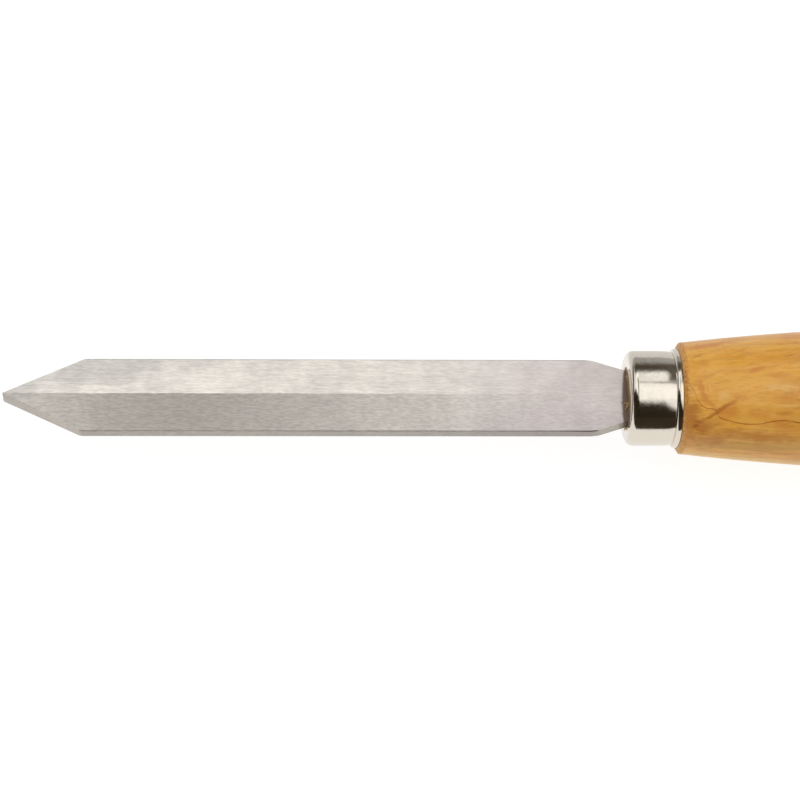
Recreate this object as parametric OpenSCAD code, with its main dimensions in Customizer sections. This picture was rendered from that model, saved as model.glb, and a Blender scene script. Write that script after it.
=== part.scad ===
// Diamond parting tool for wood turning.
// X runs along the tool with the point at negative X, Y across the blade, Z through its thickness.
// The origin is on the tool's axis, halfway along the straight wall of the ferrule.

/* [Blade] */
// Width of the blade across its two narrow edges, in mm
blade_width = 20; // [14:0.5:28]
// Thickness of the blade at its ridges
blade_thickness = 5; // [4:0.1:8]
// Thickness of the narrow edges
edge_thickness = 3.3; // [1.5:0.1:3.8]
// Length of blade that shows, from the point to the mouth of the ferrule
blade_reach = 156.5; // [100:0.5:220]
// Angle between the two bevels of the point
tip_angle = 54; // [35:1:90]
// Break ground along the corners of the narrow edges
corner_break = 0.25; // [0.1:0.05:0.5]

/* [Heel and tang] */
// Angle of each heel shoulder to the axis of the tool
shoulder_angle = 19; // [12:1:35]
// Length of shoulder that shows in front of the ferrule
shoulder_lead = 8; // [4:0.5:14]
// Radius that rounds the start of each shoulder
shoulder_round = 10; // [2:1:20]
// Width of the tang where it leaves the shoulders
tang_root = 9; // [6:0.5:11]
// Width of the tang near its end
tang_end = 6; // [3:0.5:8]
// Length of the tang behind the mouth of the ferrule
tang_length = 75; // [50:1:110]

/* [Ferrule] */
// How far the ferrule stands out past each edge of the blade
ferrule_step = 2.1; // [1:0.1:5]
// Length of the ferrule
ferrule_length = 13; // [10:0.5:30]
// Thickness of the drawn wall
ferrule_wall = 0.8; // [0.6:0.1:1.6]
// Outside radius of the front corner
ferrule_corner = 1.9; // [1.7:0.1:2.6]
// Length of the rounded lip at the rear
lip_length = 1.5; // [0.8:0.1:3]
// How far the lip stands out past the straight wall
lip_rise = 0.5; // [0.1:0.1:0.7]
// Depth of the groove in front of the lip
groove_depth = 0.25; // [0.1:0.05:0.4]

/* [Handle] */
// How far the wood in the mouth lies behind the front of the ferrule
nose_recess = 0.3; // [0.1:0.1:0.6]
// Length of the handle behind the ferrule
handle_length = 270; // [225:5:400]
// How far the front shoulder of the handle stands out past the ferrule
handle_step = 2.1; // [1:0.1:5]
// Diameter of the belly
belly_diameter = 36.8; // [32:0.2:44]
// Distance of the belly behind the ferrule
belly_distance = 75; // [50:1:110]
// Diameter of the waist
waist_diameter = 27; // [22:0.5:34]
// Distance of the waist behind the ferrule
waist_distance = 178; // [130:1:200]
// Diameter of the end knob
knob_diameter = 31.6; // [26:0.2:40]
// Length of the domed end
dome_length = 19; // [8:1:30]
// Chamfer along the front shoulder
shoulder_break = 1.2; // [0.2:0.1:1.5]

/* [Fits] */
// Gap between the tang and its socket
tang_clearance = 0.1; // [0.05:0.05:0.3]
// Gap between the tang's corners and the mouth of the ferrule
mouth_clearance = 0.4; // [0.2:0.1:1]
// Radial gap between the ferrule and the wood inside it
spigot_clearance = 0.1; // [0.05:0.05:0.3]

/* [Hidden] */
$fn = 96;

// Blade
blade_half = blade_width / 2;
ridge_half = blade_thickness / 2;
edge_half = edge_thickness / 2;
facet_slope = (ridge_half - edge_half) / blade_half;
tip_x = -blade_reach;
tip_shoulder_x = tip_x + blade_half / tan(tip_angle / 2);

// Heel and tang
heel_x = -shoulder_lead;
heel_tangent = shoulder_round * tan(shoulder_angle / 2);
heel_steps = 6;
root_x = heel_x + (blade_half - tang_root / 2) / tan(shoulder_angle);
tang_point = tang_end / 2;
tang_blunt = tang_end / 4;
socket_end_gap = 1;
function shoulder_y(x) = blade_half - (x - heel_x) * tan(shoulder_angle);

// Ferrule
ferrule_r = blade_half + ferrule_step;
bore_r = ferrule_r - ferrule_wall;
mouth_half = max(shoulder_y(0), tang_root / 2);
mouth_r = norm([mouth_half, ridge_half - mouth_half * facet_slope]) + mouth_clearance;
inner_corner = ferrule_corner - ferrule_wall;
groove_x = ferrule_length - lip_length;
lip_r = ferrule_r + lip_rise;
lip_half = lip_length / 2;
wall_run = groove_x - groove_depth - ferrule_corner;
origin_x = ferrule_corner + wall_run / 2;

// Handle
nose_r = mouth_r - spigot_clearance;
spigot_r = bore_r - spigot_clearance;
spigot_x = ferrule_wall + spigot_clearance;
spigot_chamfer = inner_corner + spigot_clearance;
shoulder_r = ferrule_r + handle_step;
belly_r = belly_diameter / 2;
waist_r = waist_diameter / 2;
knob_r = knob_diameter / 2;
front_x = ferrule_length + shoulder_break;
belly_x = ferrule_length + belly_distance;
waist_x = ferrule_length + waist_distance;
knob_x = ferrule_length + handle_length - dome_length;
curve_steps = 14;
dome_steps = 9;
function between(a, b, u) = a + (b - a) * u;
function swell(u) = belly_r - (belly_r - shoulder_r) * pow(1 - u, 2);
function swing(a, b, u) = between(a, b, (1 - cos(180 * u)) / 2);

// Moves a piece drawn from the mouth of the ferrule into the frame of the tool
module from_mouth() {
    translate([-origin_x, 0, 0]) children();
}

// Turns a profile of radius and distance about the axis of the tool
module turned() {
    rotate([0, 90, 0]) rotate_extrude() children();
}

// Runs a section of width and thickness along the axis from x0 to x1
module along_axis(x0, x1) {
    translate([x0, 0, 0]) rotate([90, 0, 90]) linear_extrude(height = x1 - x0) children();
}

// Flattened diamond with a ridge on each face and broken corners on its narrow edges
module diamond() {
    polygon([
        [0, ridge_half],
        [blade_half - corner_break, edge_half + corner_break * facet_slope],
        [blade_half, edge_half - corner_break],
        [blade_half, corner_break - edge_half],
        [blade_half - corner_break, -edge_half - corner_break * facet_slope],
        [0, -ridge_half],
        [corner_break - blade_half, -edge_half - corner_break * facet_slope],
        [-blade_half, corner_break - edge_half],
        [-blade_half, edge_half - corner_break],
        [corner_break - blade_half, edge_half + corner_break * facet_slope]
    ]);
}

// Flattened diamond without broken corners, grown by the gap round the tang
module socket_section() {
    polygon([
        [0, ridge_half + tang_clearance],
        [blade_half, edge_half + tang_clearance],
        [blade_half, -edge_half - tang_clearance],
        [0, -ridge_half - tang_clearance],
        [-blade_half, -edge_half - tang_clearance],
        [-blade_half, edge_half + tang_clearance]
    ]);
}

// Outline of the blade seen square to its face: point, parallel edges, rounded shoulders, tang
module blade_outline() {
    half = concat(
        [[tip_shoulder_x, blade_half]],
        [for (i = [0:heel_steps])
            let (a = shoulder_angle * i / heel_steps)
            [heel_x - heel_tangent + shoulder_round * sin(a), blade_half - shoulder_round * (1 - cos(a))]],
        [[root_x, tang_root / 2]],
        [[tang_length - tang_point, tang_end / 2]],
        [[tang_length, tang_blunt]]
    );
    last = len(half) - 1;
    polygon(concat([[tip_x, 0]], half, [for (i = [0:last]) [half[last - i].x, -half[last - i].y]]));
}

// Outline of the tang's socket, open at the front of the spigot
module socket_outline() {
    half = [
        [heel_x, blade_half + tang_clearance],
        [root_x, tang_root / 2 + tang_clearance],
        [tang_length - tang_point, tang_end / 2 + tang_clearance],
        [tang_length + socket_end_gap, tang_blunt + tang_clearance]
    ];
    last = len(half) - 1;
    polygon(concat(half, [for (i = [0:last]) [half[last - i].x, -half[last - i].y]]));
}

// Ground bar: diamond section cut to the outline of the blade and its tang
module blade() {
    color([0.72, 0.71, 0.69])
    from_mouth()
    intersection() {
        along_axis(tip_x, tang_length) diamond();
        linear_extrude(height = 2 * blade_thickness, center = true) blade_outline();
    }
}

// Drawn cup: rounded front corner, round mouth, fine groove, and a lip rounded in front and square behind
module ferrule() {
    color([0.80, 0.79, 0.76])
    from_mouth()
    turned()
    difference() {
        union() {
            square([ferrule_r - ferrule_corner, ferrule_length]);
            translate([0, ferrule_corner]) square([ferrule_r, ferrule_length - ferrule_corner]);
            translate([ferrule_r - ferrule_corner, ferrule_corner]) circle(ferrule_corner);
            translate([lip_r - lip_half, ferrule_length - lip_half]) circle(lip_half);
            translate([0, ferrule_length - lip_half]) square([lip_r, lip_half]);
        }
        square([mouth_r, ferrule_length]);
        translate([0, ferrule_corner]) square([bore_r, ferrule_length - ferrule_corner]);
        translate([0, ferrule_wall]) square([bore_r - inner_corner, ferrule_length - ferrule_wall]);
        translate([bore_r - inner_corner, ferrule_corner]) circle(inner_corner);
        polygon([
            [ferrule_r - groove_depth, groove_x],
            [lip_r, groove_x - groove_depth - lip_rise],
            [lip_r, groove_x]
        ]);
    }
}

// Outline of the turned handle: nose in the mouth, spigot, shoulder, belly, waist, knob and domed end
module handle_outline() {
    polygon(concat(
        [[0, nose_recess]],
        [[nose_r, nose_recess]],
        [[nose_r, spigot_x]],
        [[spigot_r - spigot_chamfer, spigot_x]],
        [[spigot_r, spigot_x + spigot_chamfer]],
        [[spigot_r, ferrule_length]],
        [[shoulder_r - shoulder_break, ferrule_length]],
        [for (i = [0:curve_steps])
            let (u = i / curve_steps)
            [swell(u), between(front_x, belly_x, u)]],
        [for (i = [1:curve_steps])
            let (u = i / curve_steps)
            [swing(belly_r, waist_r, u), between(belly_x, waist_x, u)]],
        [for (i = [1:curve_steps])
            let (u = i / curve_steps)
            [swing(waist_r, knob_r, u), between(waist_x, knob_x, u)]],
        [for (i = [1:dome_steps])
            let (a = 90 * i / dome_steps)
            [knob_r * cos(a), knob_x + dome_length * sin(a)]]
    ));
}

// Turned wood with a socket that follows the tang
module handle() {
    color([0.80, 0.58, 0.30])
    from_mouth()
    difference() {
        turned() handle_outline();
        intersection() {
            along_axis(heel_x, tang_length + socket_end_gap) socket_section();
            linear_extrude(height = 2 * blade_thickness, center = true) socket_outline();
        }
    }
}

blade();
ferrule();
handle();
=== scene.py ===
import math

import bpy
import numpy as np
from bpy.props import FloatProperty, FloatVectorProperty, IntProperty, PointerProperty
from bpy.types import Operator, Panel, PropertyGroup
from mathutils import Matrix, Vector


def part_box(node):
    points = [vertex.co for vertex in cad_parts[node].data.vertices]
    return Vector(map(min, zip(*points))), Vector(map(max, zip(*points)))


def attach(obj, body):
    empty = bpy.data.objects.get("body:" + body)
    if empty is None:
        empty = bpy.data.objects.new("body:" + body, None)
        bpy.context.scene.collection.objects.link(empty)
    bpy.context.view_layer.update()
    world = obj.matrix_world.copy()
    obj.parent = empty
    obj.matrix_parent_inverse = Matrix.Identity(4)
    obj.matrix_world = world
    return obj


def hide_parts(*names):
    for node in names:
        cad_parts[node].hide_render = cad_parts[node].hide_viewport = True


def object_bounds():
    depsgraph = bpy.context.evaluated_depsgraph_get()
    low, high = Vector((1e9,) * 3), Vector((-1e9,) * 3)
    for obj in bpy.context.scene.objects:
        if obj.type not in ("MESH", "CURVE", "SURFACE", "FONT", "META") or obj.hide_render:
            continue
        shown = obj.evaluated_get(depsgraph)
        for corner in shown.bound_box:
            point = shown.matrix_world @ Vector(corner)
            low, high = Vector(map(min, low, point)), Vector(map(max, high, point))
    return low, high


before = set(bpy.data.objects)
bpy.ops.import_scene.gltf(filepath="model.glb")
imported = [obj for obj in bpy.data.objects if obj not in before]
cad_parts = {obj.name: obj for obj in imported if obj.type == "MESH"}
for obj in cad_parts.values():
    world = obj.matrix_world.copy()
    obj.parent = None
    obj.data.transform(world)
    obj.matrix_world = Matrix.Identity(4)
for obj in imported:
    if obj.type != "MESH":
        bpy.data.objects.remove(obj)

bl_info = {
    "name": "Diamond Parting Tool",
    "version": (1, 0, 0),
    "blender": (4, 5, 0),
    "location": "View3D > Sidebar > Parting Tool",
    "description": "Builds a wood-turning parting tool: ground blade, plated ferrule and turned handle",
    "category": "Add Mesh",
}

MM = 0.001
FULL_TURN = 2.0 * math.pi
CAD_LOW, CAD_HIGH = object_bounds()
BLADE_LOW, BLADE_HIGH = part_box("blade")
FERRULE_LOW, FERRULE_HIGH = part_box("ferrule")
HANDLE_LOW, HANDLE_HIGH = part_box("handle")

# Places along the tool's axis, in metres: the front of the ferrule and the wood's shoulder behind it
MOUTH_X = FERRULE_LOW.x
SEAT_X = FERRULE_HIGH.x

# Heel of the blade: angle of its shoulders in degrees, the radius that starts them, and how far they lie
# in front of the ferrule on the near and the far side
HEEL_ANGLE, HEEL_ROUND = 19.0, 10.0 * MM
NEAR_LEAD, FAR_LEAD = 8.0 * MM, 9.0 * MM

# Tang: half widths where it leaves the shoulders and near its end, and where it starts behind the mouth
TANG_ROOT, TANG_END = 4.5 * MM, 3.0 * MM
TANG_ROOT_AT = 7.97 * MM

# Mouth of the ferrule, the gap between pieces that fit into each other, and the handle's domed end
MOUTH_RADIUS = 7.886 * MM
FIT_GAP = 0.1 * MM
DOME_LENGTH = 19.0 * MM

# Direction from the axis towards the viewer of the photograph, and the direction that is up in the picture
VIEW_RISE = math.radians(65.0)
FACING = np.array([0.0, -math.cos(VIEW_RISE), math.sin(VIEW_RISE)])
UPWARD = np.array([0.0, math.sin(VIEW_RISE), math.cos(VIEW_RISE)])

# Share of its light that the steel scatters evenly, and the brightness that the room gives that share
STEEL_MATT, MATT_LIGHT = 0.40, 0.90


# Settings that a user would change


class BladeSettings(PropertyGroup):
    """Sizes and colours of the ground steel blade."""

    width: FloatProperty(
        name="Width", description="Width across the two narrow edges",
        default=BLADE_HIGH.y - BLADE_LOW.y, min=0.01, max=0.04, unit="LENGTH")
    thickness: FloatProperty(
        name="Thickness", description="Thickness at the two ridges",
        default=BLADE_HIGH.z - BLADE_LOW.z, min=0.003, max=0.01, unit="LENGTH")
    edge_thickness: FloatProperty(
        name="Edge thickness", description="Thickness of the narrow edges",
        default=3.3 * MM, min=0.001, max=0.006, unit="LENGTH")
    corner_break: FloatProperty(
        name="Corner break", description="Width of the break along the long corners",
        default=0.25 * MM, min=0.00005, max=0.001, unit="LENGTH")
    tip_angle: FloatProperty(
        name="Tip angle", description="Angle between the two bevels of the point",
        default=math.radians(54.0), min=0.5, max=1.6, subtype="ANGLE")
    light_steel: FloatVectorProperty(
        name="Light steel", description="Tone of the brighter grinding lines",
        default=(0.832, 0.782, 0.718), size=3, min=0.0, max=1.0, subtype="COLOR")
    dark_steel: FloatVectorProperty(
        name="Dark steel", description="Tone of the duller grinding lines",
        default=(0.655, 0.614, 0.562), size=3, min=0.0, max=1.0, subtype="COLOR")


class FerruleSettings(PropertyGroup):
    """Sizes and colour of the plated ferrule."""

    wall: FloatProperty(
        name="Wall", description="Thickness of the drawn wall",
        default=0.8 * MM, min=0.0004, max=0.002, unit="LENGTH")
    corner: FloatProperty(
        name="Corner", description="Outside radius of the front corner",
        default=1.9 * MM, min=0.001, max=0.004, unit="LENGTH")
    lip_rise: FloatProperty(
        name="Lip rise", description="How far the rear lip stands out past the wall",
        default=0.5 * MM, min=0.0, max=0.001, unit="LENGTH")
    lip_length: FloatProperty(
        name="Lip length", description="Length of the rear lip",
        default=1.5 * MM, min=0.0005, max=0.003, unit="LENGTH")
    plating: FloatVectorProperty(
        name="Plating", description="Colour of the bright plating",
        default=(0.70, 0.645, 0.56), size=3, min=0.0, max=1.0, subtype="COLOR")


class HandleSettings(PropertyGroup):
    """Sizes and colours of the turned handle."""

    belly: FloatProperty(
        name="Belly", description="Diameter of the belly",
        default=HANDLE_HIGH.z - HANDLE_LOW.z, min=0.02, max=0.06, unit="LENGTH")
    waist: FloatProperty(
        name="Waist", description="Diameter of the waist",
        default=27.0 * MM, min=0.015, max=0.05, unit="LENGTH")
    knob: FloatProperty(
        name="Knob", description="Diameter of the rounded end",
        default=31.6 * MM, min=0.015, max=0.05, unit="LENGTH")
    light_wood: FloatVectorProperty(
        name="Light wood", description="Tone of the pale figure",
        default=(0.90, 0.472, 0.090), size=3, min=0.0, max=1.0, subtype="COLOR")
    dark_wood: FloatVectorProperty(
        name="Dark wood", description="Tone of the darker figure",
        default=(0.84, 0.403, 0.053), size=3, min=0.0, max=1.0, subtype="COLOR")
    splinters: IntProperty(
        name="Splinters", description="Loose fibres round the tang in the mouth of the ferrule",
        default=9, min=4, max=40)


class StageSettings(PropertyGroup):
    """Floor and light."""

    floor: FloatVectorProperty(
        name="Floor", description="Colour of the plain floor",
        default=(0.20, 0.20, 0.198), size=3, min=0.0, max=1.0, subtype="COLOR")
    floor_glow: FloatProperty(
        name="Floor glow", description="Light that the floor gives by itself, as a light table does",
        default=0.90, min=0.0, max=2.0)
    room_light: FloatProperty(
        name="Room light", description="Brightness of the soft light overhead, which fades to the horizon",
        default=1.60, min=0.0, max=10.0)
    dome_light: FloatProperty(
        name="Dome light", description="Brightness of the soft boxes that polished metal mirrors",
        default=1.0, min=0.0, max=10.0)


class ToolSettings(PropertyGroup):
    """All settings of the parting tool."""

    blade: PointerProperty(type=BladeSettings)
    ferrule: PointerProperty(type=FerruleSettings)
    handle: PointerProperty(type=HandleSettings)
    stage: PointerProperty(type=StageSettings)


# Surfaces


def wander(place, wavelength, seed, waves=9):
    """Smooth random curve of about -1 to 1: twice the mean of sines of random length near the wavelength
    and of random start."""
    rng = np.random.default_rng(seed)
    turns = rng.uniform(0.45, 1.7, waves) / wavelength
    starts = rng.uniform(0.0, FULL_TURN, waves)
    return np.sin(FULL_TURN * np.asarray(place)[..., None] * turns + starts).mean(-1) * 2.0


def ripple(angle, low, high, seed, waves=14):
    """Random curve of about -1 to 1 that closes on itself round a circle: twice the mean of sines with
    whole numbers of waves from low to high and of random start."""
    rng = np.random.default_rng(seed)
    counts = rng.integers(low, high, waves)
    starts = rng.uniform(0.0, FULL_TURN, waves)
    return np.sin(np.asarray(angle)[..., None] * counts + starts).mean(-1) * 2.0


def arc(centre, radius, start, end, steps):
    """Points on a circle from the start to the end angle, in degrees, as rows of (along, out)."""
    a = np.radians(np.linspace(start, end, steps))
    return np.stack([centre[0] + radius * np.cos(a), centre[1] + radius * np.sin(a)], 1)


def outward(angle):
    """Direction out of the tool's axis at an angle, in radians, from the side that faces the viewer."""
    return np.cos(angle)[..., None] * FACING + np.sin(angle)[..., None] * UPWARD


def round_axis(columns):
    """Even angles for one turn about the axis, starting at the side away from the viewer."""
    return np.arange(columns) / columns * FULL_TURN + math.pi


def closed_surface(name, points, along=None, ring=False):
    """Mesh of one or more grids of points (shells, rows, columns, 3) whose columns close round.

    Row i and column j join to row i + 1 and column j + 1 as quads. With ring, the last row joins the
    first; otherwise the first and last rows are closed by flat caps. Faces are turned outwards by the sign
    of the enclosed volume. With along, a UV map holds the place along the axis and the share of the turn.
    """
    points = points if points.ndim == 4 else points[None]
    shells, rows, columns = points.shape[:3]
    index = np.arange(shells * rows * columns).reshape(shells, rows, columns)
    above = index if ring else index[:, :-1]
    below = np.roll(index, -1, 1) if ring else index[:, 1:]
    quads = np.stack([above, np.roll(above, -1, 2), np.roll(below, -1, 2), below], -1).reshape(-1, 4)
    flat = points.reshape(-1, 3)
    a, b, c, d = (flat[quads[:, k]] for k in range(4))
    volume = (np.cross(b - a, c - a) * a).sum() + (np.cross(c - a, d - a) * a).sum()
    caps = np.empty((0, columns), int) if ring else np.concatenate([index[:, 0, ::-1], index[:, -1]])
    share = np.arange(columns + 1) / columns
    quad_turn = np.stack([share[:-1], share[1:], share[1:], share[:-1]], 1)
    quad_turn = np.tile(quad_turn, (shells * above.shape[1], 1))
    if volume < 0.0:
        quads, quad_turn, caps = quads[:, ::-1], quad_turn[:, ::-1], caps[:, ::-1]
    corners = np.concatenate([quads.ravel(), caps.ravel()])
    starts = np.concatenate([np.arange(len(quads)) * 4, quads.size + np.arange(len(caps)) * columns])
    mesh = bpy.data.meshes.new(name)
    mesh.vertices.add(len(flat))
    mesh.vertices.foreach_set("co", flat.astype(np.float32).ravel())
    mesh.loops.add(len(corners))
    mesh.loops.foreach_set("vertex_index", corners.astype(np.int32))
    mesh.polygons.add(len(starts))
    mesh.polygons.foreach_set("loop_start", starts.astype(np.int32))
    if along is not None:
        turn = np.concatenate([quad_turn.ravel(), share[caps.ravel() % columns]])
        unrolled = np.stack([along[corners // columns], turn], 1)
        mesh.uv_layers.new(name="Turned").data.foreach_set("uv", unrolled.astype(np.float32).ravel())
    mesh.update(calc_edges=True)
    if mesh.validate():
        raise RuntimeError(f"the mesh of {name} had faults")
    return mesh


def open_sheet(name, points):
    """Mesh of one grid of points (rows, columns, 3) with free edges, joined as quads."""
    rows, columns = points.shape[:2]
    index = np.arange(rows * columns).reshape(rows, columns)
    quads = np.stack([index[:-1, :-1], index[:-1, 1:], index[1:, 1:], index[1:, :-1]], -1)
    mesh = bpy.data.meshes.new(name)
    mesh.from_pydata(points.reshape(-1, 3), [], quads.reshape(-1, 4))
    return mesh


def place_piece(name, mesh, material, crease):
    """Links a piece at the origin, smooth but for edges that turn by more than the crease, in degrees."""
    piece = bpy.data.objects.new(name, mesh)
    bpy.context.scene.collection.objects.link(piece)
    mesh.materials.append(material)
    mesh.shade_smooth()
    mesh.set_sharp_from_angle(angle=math.radians(crease))
    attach(piece, "root")
    return piece


def blade_side(settings, lead):
    """One side of the blade behind its bevel: rows of (place, half width), in metres from the mouth.

    It runs along the parallel edge, round the heel by an arc, down the straight shoulder to the tang, and
    along the tang to its blunt end. The lead is the length of shoulder in front of the mouth.
    """
    half = settings.width / 2.0
    length = BLADE_HIGH.x - MOUTH_X
    heel = -lead - HEEL_ROUND * math.tan(math.radians(HEEL_ANGLE / 2.0))
    corner = arc((heel, half - HEEL_ROUND), HEEL_ROUND, 90.0, 90.0 - HEEL_ANGLE, 13)
    root_at = -lead + (half - TANG_ROOT) / math.tan(math.radians(HEEL_ANGLE))
    tang = [(root_at, TANG_ROOT), (length - TANG_END, TANG_END), (length, TANG_END / 2.0)]
    return np.concatenate([[(BLADE_LOW.x - MOUTH_X, half)], corner, tang])


def blade_points(settings):
    """Blade as sections carried along the axis.

    Each section is a flattened diamond: height over the axis falls from the ridge in proportion to the
    distance from it, cut off at the half width by an upright edge with small breaks at its corners. The
    half width of each side is the smooth minimum of the bevel's straight line from the point and the side
    behind it. The far side is ground a little further back than the near side, and the ridge strays
    sideways by a smooth random tenth of a millimetre, as in grinding by hand.
    """
    half, ridge, edge = settings.width / 2.0, settings.thickness / 2.0, settings.edge_thickness / 2.0
    slope = (ridge - edge) / half
    tip = BLADE_LOW.x - MOUTH_X
    tip_run = half / math.tan(settings.tip_angle / 2.0)
    far_setback = 0.8 * MM
    tip_half, tip_break, ridge_flat = 0.02 * MM, 0.03 * MM, 0.10 * MM
    stray_size, stray_wave, stray_ease = 0.10 * MM, 14.0 * MM, 12.0 * MM
    near_side, far_side = blade_side(settings, NEAR_LEAD), blade_side(settings, FAR_LEAD)
    extra = np.concatenate([
        np.linspace(tip, tip + tip_run, 25),
        tip + tip_run + np.linspace(-2.0, 3.5, 30) * MM,
        np.linspace(tip + tip_run, near_side[1, 0], 110),
        np.linspace(near_side[-4, 0], near_side[-3, 0], 20),
    ])
    x = np.unique(np.round(np.concatenate([near_side[1:, 0], far_side[1:, 0], extra]), 7))
    widths, cuts = [], []
    for side, run, blend in ((near_side, tip_run, 0.05 * MM), (far_side, tip_run + far_setback, 0.18 * MM)):
        bevel = tip_half + (x - tip) * half / run
        behind = np.interp(x, side[:, 0], side[:, 1])
        w = np.minimum(bevel, behind) - blend * np.log1p(np.exp(-np.abs(bevel - behind) / blend))
        full = np.clip((w / half - 0.97) / 0.02, 0.0, 1.0)
        widths.append(w)
        cuts.append(np.minimum(tip_break + (settings.corner_break - tip_break) * full, 0.4 * w))
    (near, far), (near_cut, far_cut) = widths, cuts
    ground = np.clip((x - tip) / stray_ease, 0.0, 1.0) * np.clip(-x / stray_ease, 0.0, 1.0)
    stray = stray_size * wander(x, stray_wave, 5) * ground
    crest = np.minimum(ridge_flat, 0.25 * np.minimum(near, far))
    share = np.array([1.0, 0.66, 0.33])
    left = -share[None, :] * (near - near_cut)[:, None]
    right = share[None, ::-1] * (far - far_cut)[:, None]
    middle = stray[:, None] + crest[:, None] * np.array([-1.0, 0.0, 1.0])
    y_top = np.concatenate([left, middle, right], 1)
    away = np.abs(y_top - stray[:, None])
    z_top = ridge - slope * np.maximum(away, crest[:, None] * 0.5)
    upright = np.array([1.0, 0.0, -1.0])
    z_far = (ridge - slope * far - far_cut)[:, None] * upright
    z_near = (ridge - slope * near - near_cut)[:, None] * upright
    y_far, y_near = np.repeat(far[:, None], 3, 1), np.repeat(-near[:, None], 3, 1)
    y = np.concatenate([y_top, y_far, y_top[:, ::-1], y_near], 1)
    z = np.concatenate([z_top, z_far, -z_top[:, ::-1], -z_near], 1)
    return np.stack([np.repeat(x[:, None] + MOUTH_X, y.shape[1], 1), y, z], -1)


def turned_points(profile, columns):
    """Profile rows of (along, out) turned about the axis."""
    out = profile[:, 1][:, None, None] * outward(round_axis(columns))[None]
    out[..., 0] += profile[:, 0][:, None]
    return out


def ferrule_profile(settings):
    """Closed profile of the drawn cup as rows of (along, out), in metres from the mouth.

    Rolled mouth, flat front, front corner arc, straight wall, a slight parabolic neck into a fine groove,
    lip with a round front and a flat crown, then back along the bore and round its inner corner.
    """
    wall, corner, rise = settings.wall, settings.corner, settings.lip_rise
    length = FERRULE_HIGH.x - FERRULE_LOW.x
    radius = FERRULE_HIGH.y - rise
    bore, inner = radius - wall, corner - wall
    mouth, roll = MOUTH_RADIUS, wall * 0.45
    half_lip = settings.lip_length / 2.0
    crown = radius + rise
    groove = length - settings.lip_length
    dip = crown - half_lip
    groove_run, lip_blunt, hold = 0.25 * MM, 0.15 * MM, 0.04 * MM
    neck_run, neck_dip = 3.3 * MM, 0.20 * MM
    t = np.linspace(0.0, 1.0, 10)
    neck = np.stack([groove - groove_run - neck_run * (1.0 - t), radius - neck_dip * t ** 2], 1)
    front = arc((corner, radius - corner), corner, 180.0, 90.0, 19)
    lip = arc((length - half_lip, crown - half_lip), half_lip, 180.0, 90.0, 13)
    lip_back = arc((length - lip_blunt, crown - lip_blunt), lip_blunt, 90.0, 0.0, 5)
    rim = arc((roll, mouth + roll), roll, 270.0, 180.0, 7)
    back_corner = arc((corner, bore - inner), inner, 90.0, 180.0, 9)
    return np.concatenate([
        rim,
        [(0.0, mouth + roll + hold), (0.0, radius - corner - hold)],
        front,
        [(corner + hold, radius)],
        neck,
        [(groove - groove_run * 0.5, radius - neck_dip * 1.1), (groove - groove_run * 0.15, dip)],
        lip,
        lip_back,
        [(length, bore + hold), (length - hold, bore)],
        [(corner + hold, bore)],
        back_corner,
        [(wall, bore - inner - hold), (wall, mouth + hold), (wall - hold, mouth)],
    ]) + np.array([MOUTH_X, 0.0])


def handle_radius(place, settings):
    """Radius of the handle at a place behind the ferrule's seat: a parabola from the shoulder up to the
    belly, half a cosine wave down to the waist, half a cosine wave up to the knob, then a quarter ellipse
    to the end."""
    belly, waist, knob = settings.belly / 2.0, settings.waist / 2.0, settings.knob / 2.0
    shoulder = 14.2 * MM
    front, belly_at, waist_at = 1.2 * MM, 75.0 * MM, 178.0 * MM
    knob_at = HANDLE_HIGH.x - SEAT_X - DOME_LENGTH
    swell_share = np.clip((place - front) / (belly_at - front), 0.0, 1.0)
    fall_share = np.clip((place - belly_at) / (waist_at - belly_at), 0.0, 1.0)
    climb_share = np.clip((place - waist_at) / (knob_at - waist_at), 0.0, 1.0)
    dome_share = np.clip((place - knob_at) / DOME_LENGTH, 0.0, 1.0)
    swell = belly - (belly - shoulder) * (1.0 - swell_share) ** 2
    fall = (1.0 - np.cos(math.pi * fall_share)) / 2.0
    climb = (1.0 - np.cos(math.pi * climb_share)) / 2.0
    curve = swell + (waist - belly) * fall + (knob - waist) * climb
    return curve * np.sqrt(np.clip(1.0 - dome_share ** 2, 0.0, 1.0))


def tang_socket(side, nose_at):
    """Rings of the tang's socket from its floor to the nose: places, and radius in each direction.

    A ring is the tang's flattened diamond with a gap round it, found along each direction as the nearer of
    its sloping face and its upright edge.
    """
    ridge, slope = 2.5 * MM + FIT_GAP, 0.085
    across, up = np.abs(side[:, 1]) + 1e-9, np.abs(side[:, 2])
    face = ridge / (up + slope * across)
    floor = BLADE_HIGH.x - MOUTH_X + 1.0 * MM
    taper_end = 72.0 * MM
    place = np.array([floor, floor, taper_end, 40.0 * MM, 8.0 * MM, 4.0 * MM, 1.5 * MM, nose_at])
    outline_at = [-NEAR_LEAD, TANG_ROOT_AT, taper_end, floor]
    outline_half = [10.0 * MM, TANG_ROOT, TANG_END, TANG_END / 2.0]
    half = np.interp(place, outline_at, outline_half) + FIT_GAP
    radii = np.minimum(face[None, :], half[:, None] / across[None, :])
    radii[0] *= 0.05
    return place, radii


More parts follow.
